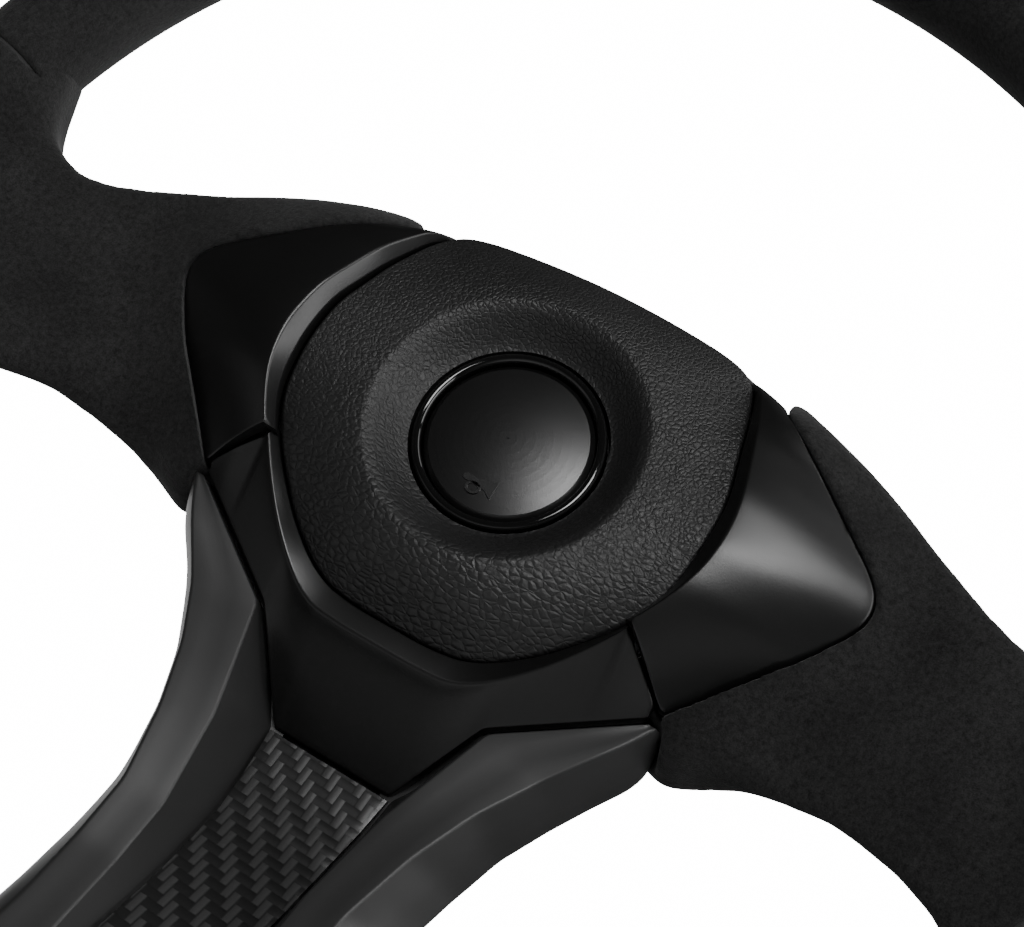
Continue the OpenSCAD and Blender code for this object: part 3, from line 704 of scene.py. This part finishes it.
low_y = soft([
    (54, -46), (66, -49.5), (70, -51.4), (74, -51.8), (78, -50.4), (82, -48.8), (88, -47.4),
    (94, -47), (100, -46.6), (112, -46.2), (119, -47.4), (130, -50.4), (140, -55), (147, -61),
    (153, -70), (168, -81),
], 1.5)
# From its ridge at RIDGE_Y the cover falls gently upwards, faster past LOBE_Y, and falls
# downwards by fall times fall_gain.
RIDGE_Y, LOBE_Y = 8, 34
fall_gain = soft([
    (60, 0.9), (80, 0.95), (90, 0.85), (98, 0.7), (112, 0.5), (130, 0.35), (150, 0.2),
], 5)
fall = soft([
    (-10, 0), (0, 0), (8, 0.8), (18, 3.2), (28, 7), (38, 12.5), (44, 15.5), (50, 16.3), (60, 18),
], 3)
# Shape of the back's cross-section as (squareness, power): full over the armature's arm
# in the upper half, rounder below.
BACK_UPPER, BACK_LOWER = (10, 0.3), (5, 0.5)


def cover_z(x, y):
    """Height of the spoke cover's face before its edges are rolled."""
    if y < RIDGE_Y:
        return float(ridge_z(x)) - float(fall_gain(x)) * float(fall(RIDGE_Y - y))
    return float(ridge_z(x)) - 0.004 * (y - RIDGE_Y) ** 2 - 0.03 * max(y - LOBE_Y, 0.0) ** 2


def cover_mesh():
    """The right spoke cover as a closed skin, drawn band by band from the pad to the rim."""
    rings = []
    for x in np.linspace(54, 167, 100):
        low, top, back = float(low_y(x)), float(top_y(x)), float(back_z(x))
        edges = [float(low_edge_z(x)), float(top_edge_z(x))]
        ring = []
        for s in np.linspace(0, 1, 61):
            y = low + (top - low) * s
            level = edges[0] + (edges[1] - edges[0]) * s
            full = max(0.0, 1 - abs(2 * s - 1) ** 7) ** 0.4
            ring.append([x, y, level + max(cover_z(x, y) - level, 1.5) * full])
        for s in np.linspace(0.97, 0.03, 30):
            level = edges[0] + (edges[1] - edges[0]) * s
            square, power = BACK_UPPER if s > 0.5 else BACK_LOWER
            full = max(0.0, 1 - abs(2 * s - 1) ** square) ** power
            ring.append([x, low + (top - low) * s, level - max(level - back, 2) * full])
        rings.append(ring)
    return loft(rings)


def rim_arc(start, end, steps, shrink=0.0):
    """Rings of the oval grip between two angles in degrees, each drawn in by shrink."""
    rings = []
    for a in np.radians(np.linspace(start, end, steps)):
        ring = []
        for t in np.linspace(0, 2 * math.pi, 72, endpoint=False):
            r = RIM_R + (GRIP_X - shrink) * math.cos(t)
            ring.append([r * math.cos(a), r * math.sin(a), RIM_Z + (GRIP_Z - shrink) * math.sin(t)])
        rings.append(ring)
    return rings


def prism(outline, low, high):
    """An upright block on an outline, for cutting trim-sized shapes."""
    n = len(outline)
    pts = np.array([[x, y, low] for x, y in outline] + [[x, y, high] for x, y in outline])
    faces = [tuple(range(n)), tuple(range(n, 2 * n))]
    faces += [(i, (i + 1) % n, n + (i + 1) % n, n + i) for i in range(n)]
    return sized(pts), faces


def blend_surface(obj, voxel, rounds):
    """One even skin over the pieces of a mesh, with its inner corners rolled."""
    remesh = obj.modifiers.new("voxels", "REMESH")
    remesh.mode = "VOXEL"
    remesh.voxel_size = voxel
    smooth = obj.modifiers.new("blend", "SMOOTH")
    smooth.iterations = rounds
    smooth.factor = 0.5
    apply_modifiers(obj)


def build_suede():
    """The two covers that run from spoke to rim without a seam, and the six other wraps."""
    pocket = [[float(bezel_out_x(y)) + SEAM, y] for y in np.linspace(-43, 51, 64)]
    pocket += [[40, 54], [40, -32], [53, -32], [66, -43]]
    notch = [
        [67.6, -42.4], [69.4, -44.5], [70.6, -52], [70.6, -60], [40, -60], [40, -32], [53, -32],
    ]
    under_pad = chaikin(mirrored(PAD_HALF), 2) * 1.075
    tools = [
        prism(pocket, PAD_BASE, 120), prism(under_pad, 30, PAD_BASE), prism(notch, 52, 120),
    ]
    voxel = 0.0009
    pts, faces = cover_mesh()
    pts = sized(pts)
    arc_pts, arc_faces = loft(rim_arc(-24, 8, 70))
    faces = faces + [tuple(i + len(pts) for i in f) for f in arc_faces]
    right = make("suede_spoke_right", np.concatenate([pts, arc_pts]), faces, SUEDE, angle=0)
    blend_surface(right, voxel, 14)
    for tool_pts, tool_faces in tools:
        tool = make("tool", tool_pts, tool_faces, SUEDE, smooth=False)
        cut = right.modifiers.new("cut", "BOOLEAN")
        cut.operation = "DIFFERENCE"
        cut.object = tool
        cut.solver = "EXACT"
        apply_modifiers(right)
        bpy.data.objects.remove(tool)
    blend_surface(right, voxel, 4)
    left = bpy.data.objects.new("suede_spoke_left", right.data.copy())
    bpy.context.scene.collection.objects.link(left)
    left.data.transform(Matrix.Scale(-1, 4, (1, 0, 0)))
    left.data.flip_normals()
    for side, cover in (("right", right), ("left", left)):
        finish_mesh(cover, SUEDE, angle=0)
        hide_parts(f"spoke_cover_{side}", f"rim_wrap_{side}")
        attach(cover, "wheel")
    gap, lip, tuck = 0.12, 0.08, 0.8
    for name, start, end in (
        ("top_right", 8, 60), ("top", 60, 120), ("top_left", 120, 172),
        ("low_left", 204, 253), ("bottom", 253, 287), ("low_right", 287, 336),
    ):
        steps = 3 * (end - start) // 2
        start, end = start + gap, end - gap
        rings = rim_arc(start, end, steps)
        first = rim_arc(start - lip, start, 2, tuck)[0]
        last = rim_arc(end, end + lip, 2, tuck)[1]
        wrap_pts, wrap_faces = loft([first, *rings, last])
        wrap = make(f"suede_wrap_{name}", wrap_pts, wrap_faces, SUEDE, angle=0)
        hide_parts(f"rim_wrap_{name}")
        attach(wrap, "wheel")


# ---------------------------------------------------------------- springs and horn sign


def build_spring(node, mean, wire, z0, z1, turns):
    """A coil from z0 to z1 of mean radius and wire radius."""
    steps = 40
    rings = []
    for i in range(turns * steps + 1):
        a = 2 * math.pi * i / steps
        z = z0 + wire + (z1 - z0 - 2 * wire) * i / (turns * steps)
        ring = []
        for t in np.linspace(0, 2 * math.pi, 12, endpoint=False):
            r = mean + wire * math.cos(t)
            ring.append([r * math.cos(a), r * math.sin(a), z + wire * math.sin(t)])
        rings.append(ring)
    pts, faces = loft(rings)
    coil = make(f"{node}_coil", pts, faces, STEEL, angle=50)
    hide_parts(node)
    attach(coil, "wheel")
    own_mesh(coil)


def build_horn_sign():
    """A plain horn outline near the lower edge of the cap."""
    half = [[-4.2, 0.45], [-3.5, 0.8], [-0.5, 0.85], [2.1, 1.3], [3.4, 2.2], [4.0, 2.5]]
    outline = half + [[x, -y] for x, y in half[::-1]]
    turn = np.linspace(0, 2 * math.pi, 28, endpoint=False)

    def oval(wide, tall):
        return [[-0.8 + wide * math.cos(a), -1.8 + tall * math.sin(a)] for a in turn]

    loop_out, loop_in = oval(1.9, 1.5), oval(1.3, 0.9)
    drop, top, bottom = 12.6, 76.72, 76.2
    n = len(outline)
    pts = [[x, y - drop, z] for z in (top, bottom) for x, y in outline]
    faces = [tuple(range(n)), tuple(range(n, 2 * n))]
    faces += [(i, (i + 1) % n, n + (i + 1) % n, n + i) for i in range(n)]
    m, k = len(loop_out), 2 * n
    for ring, z in ((loop_out, top), (loop_in, top), (loop_out, bottom), (loop_in, bottom)):
        pts += [[x, y - drop, z] for x, y in ring]
    for i in range(m):
        j = (i + 1) % m
        for one, other in ((0, 1), (0, 2), (1, 3), (2, 3)):
            p, q = k + one * m, k + other * m
            faces.append((p + i, p + j, q + j, q + i))
    sign = make("horn_sign", np.array(pts, float), faces, CAP, smooth=False)
    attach(sign, "horn_button")


build_pad()
build_trim()
build_suede()
build_spring(
    "collar_spring", mean=28.5, wire=0.7, z0=24.1, z1=35.9, turns=4,
)
build_spring(
    "horn_spring", mean=10.6, wire=0.5, z0=62.05, z1=71.6, turns=4,
)
build_horn_sign()

# ---------------------------------------------------------------- nodes shown as built

FINISHES = {
    ALUMINIUM: ["column_boss", "armature"],
    GLOSS: ["horn_ring", "column_insulator", "contact_carrier"],
    BRASS: [
        "column_contact_inner", "column_contact_outer", "horn_contact_fixed",
        "horn_contact_moving", "contact_pin_live", "contact_pin_earth",
    ],
    STEEL: ["rim_core", "pad_posts", "pad_screws", "socket_bolts", "stop_ring"]
    + [f"ball_{i}" for i in range(1, 7)],
    FOAM: ["rim_foam"],
    INNER: ["pad_carrier", "rear_ring", "horn_cup"],
    CAP: ["horn_cap"],
    ANODISED: ["qr_socket", "collar"],
    LEAD: ["horn_lead_live", "horn_lead_earth"],
}
for material, names in FINISHES.items():
    for name in names:
        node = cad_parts[name]
        node.data.materials.clear()
        node.data.materials.append(material)
        node.data.shade_smooth()
        node.data.set_sharp_from_angle(angle=math.radians(30))

# ---------------------------------------------------------------- floor, light and camera


FLOOR_SIZE, FLOOR_Z = 6.0, -0.90


def floor_material():
    """Matt and pale; the camera sees its own even tone, so that no light pools on it."""
    n = Nodes("pale floor")
    n.set(
        Base_Color=n.mix(n.noise(3), grey(0.80), grey(0.84)),
        Roughness=0.7,
        Specular_IOR_Level=0.1,
    )
    shown = n.node("ShaderNodeEmission", {"Color": grey(0.82), "Strength": 1.0}).outputs[0]
    seen_by = n.node("ShaderNodeLightPath").outputs["Is Camera Ray"]
    both = n.node("ShaderNodeMixShader", {0: seen_by, 1: n.bsdf.outputs[0], 2: shown})
    n.put(n.t.nodes["Material Output"], "Surface", both.outputs[0])
    return n.m


def build_floor():
    mesh = bpy.data.meshes.new("floor")
    s = FLOOR_SIZE / 2
    mesh.from_pydata([(-s, -s, 0), (s, -s, 0), (s, s, 0), (-s, s, 0)], [], [(0, 1, 2, 3)])
    obj = bpy.data.objects.new("floor", mesh)
    obj.location = (0, 0, FLOOR_Z)
    obj.data.materials.append(floor_material())
    bpy.context.scene.collection.objects.link(obj)


AIM = (0.0, -0.08, 0.0)


def area(name, direction, distance, size, power):
    """An area light that stands in a direction given in the wheel's own frame."""
    d = Vector((direction[0], -direction[2], direction[1])).normalized()
    light = bpy.data.lights.new(name, "AREA")
    light.shape = "RECTANGLE"
    light.size, light.size_y = size
    light.energy = power
    obj = bpy.data.objects.new(name, light)
    place = Matrix.Translation(Vector(AIM) + d * distance)
    obj.matrix_world = place @ (-d).to_track_quat("-Z", "Y").to_matrix().to_4x4()
    bpy.context.scene.collection.objects.link(obj)


build_floor()
area("softbox", (0.23, 0.25, 0.95), 1.1, (0.54, 0.36), 8.8)
area("top wash", (0.45, 0.85, 0.05), 1.0, (0.8, 0.5), 4.0)
area("back left", (-0.75, -0.10, -0.65), 1.2, (0.6, 0.6), 2.0)
area("back right", (0.85, 0.30, -0.50), 1.2, (0.6, 0.6), 8.0)
area("side strip", (0.89, 0.30, 0.34), 0.9, (0.40, 0.8), 5.0)
area("low fill", (-0.70, -0.45, 0.55), 1.2, (0.6, 0.6), 0.3)

AMBIENT, BACKDROP = 0.045, 16.0


def build_world():
    """A dim even light on the wheel, and a white backdrop that only the camera sees."""
    world = bpy.data.worlds.new("studio")
    world.use_nodes = True
    bpy.context.scene.world = world
    tree = world.node_tree
    sky = tree.nodes["Background"]
    seen = tree.nodes.new("ShaderNodeBackground")
    for background, strength in ((sky, AMBIENT), (seen, BACKDROP)):
        background.inputs["Color"].default_value = (1, 1, 1, 1)
        background.inputs["Strength"].default_value = strength
    path = tree.nodes.new("ShaderNodeLightPath")
    pick = tree.nodes.new("ShaderNodeMixShader")
    tree.links.new(path.outputs["Is Camera Ray"], pick.inputs[0])
    tree.links.new(sky.outputs[0], pick.inputs[1])
    tree.links.new(seen.outputs[0], pick.inputs[2])
    tree.links.new(pick.outputs[0], tree.nodes["World Output"].inputs["Surface"])


# The photo's view, in the row frame: from the driver's side, low on the right and rolled.
CAMERA_PLACE = (0.11098, -0.41502, -0.13038)
CAMERA_RIGHT, CAMERA_BACK = (0.849, 0.075, 0.522), (0.285, -0.899, -0.333)
LENS = 58.15


def build_camera():
    data = bpy.data.cameras.new("camera")
    data.sensor_width = 36.0
    data.lens = LENS
    data.clip_start = 0.01
    camera = bpy.data.objects.new("camera", data)
    right = Vector(CAMERA_RIGHT).normalized()
    back = Vector(CAMERA_BACK).normalized()
    back = (back - right * back.dot(right)).normalized()
    turn = Matrix((right, back.cross(right), back)).transposed()
    camera.matrix_world = Matrix.Translation(CAMERA_PLACE) @ turn.to_4x4()
    bpy.context.scene.collection.objects.link(camera)
    bpy.context.scene.camera = camera


build_world()
build_camera()
